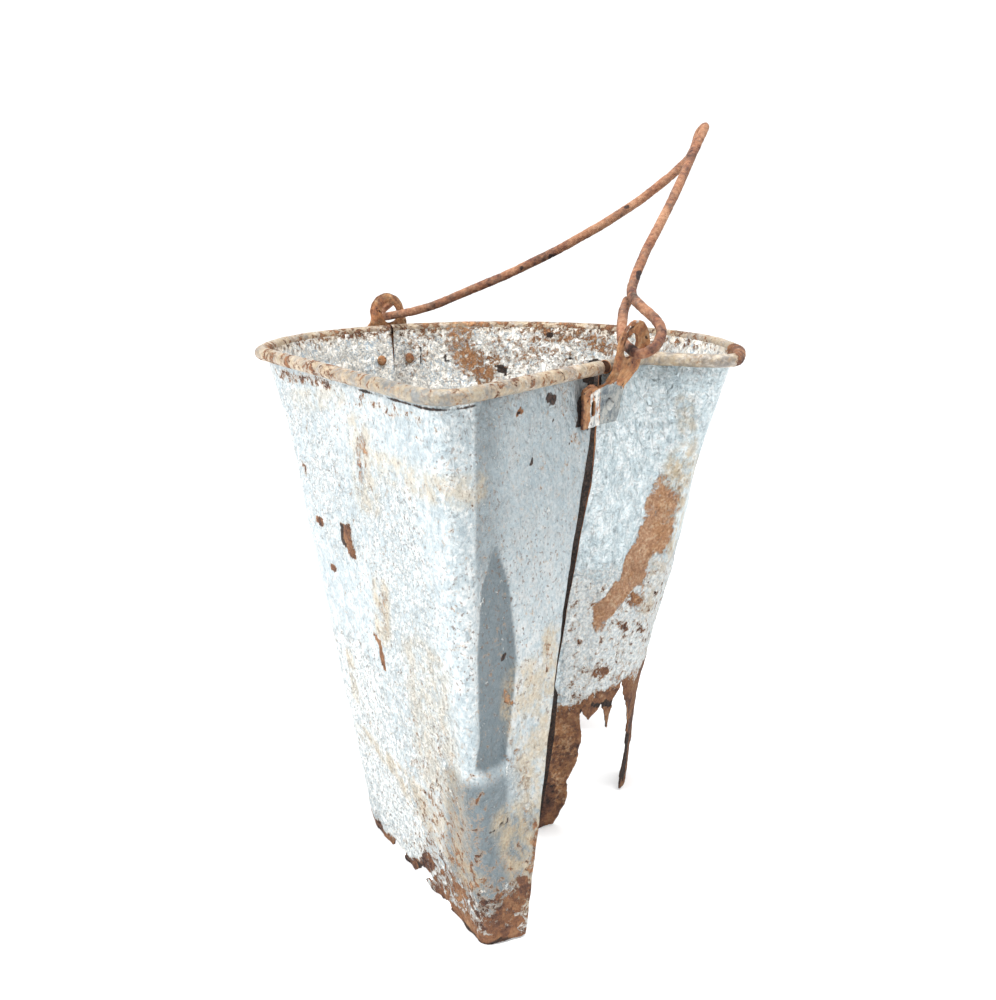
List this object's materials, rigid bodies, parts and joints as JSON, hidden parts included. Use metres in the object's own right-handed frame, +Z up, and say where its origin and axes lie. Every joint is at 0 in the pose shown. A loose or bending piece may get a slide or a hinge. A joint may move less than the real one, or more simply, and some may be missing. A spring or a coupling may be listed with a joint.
{
  "type": "old galvanised bucket",
  "caption": "Crushed, split and rusted-through galvanised steel bucket with a bent wire bail leaning to one side.",
  "frame": {"origin": "on the floor, under the middle of the whole object's bounding box", "axes": "+Z up from the floor, +X to the right and +Y to the back, with the split seam and its near ear at the front right"},
  "size_m": [0.3065, 0.3383, 0.4399],
  "materials": {
    "weathered_zinc_front": "old galvanising, dull, white and speckled, with orange rust at its torn edges",
    "weathered_zinc_rear": "old galvanising, dull, with large patches of orange and dark rust",
    "rusty_wire": "dull, rusted",
    "rusty_pressing": "golden brown rust over worn zinc",
    "rusty_rivet": "brown rust",
    "rusty_bail": "pitted brown and orange rust"
  },
  "bodies": {
    "bucket": {"front_shell": "weathered_zinc_front", "rear_shell": "weathered_zinc_rear", "front_rim_wire": "rusty_wire", "rear_rim_wire": "rusty_wire", "near_ear": "rusty_pressing", "far_ear": "rusty_pressing", "near_ear_rivet": "rusty_rivet", "far_ear_rivet_left": "rusty_rivet", "far_ear_rivet_right": "rusty_rivet"},
    "bail": {"bail": "rusty_bail"}
  },
  "joints": [
    {"name": "bail_hinge", "type": "hinge", "parent": "bucket", "child": "bail", "pos_m": [-0.00508, 0.04137, 0.3056], "axis": [-0.5965, 0.8026, -0.0008], "range_deg": [-134, 36]}
  ]
}
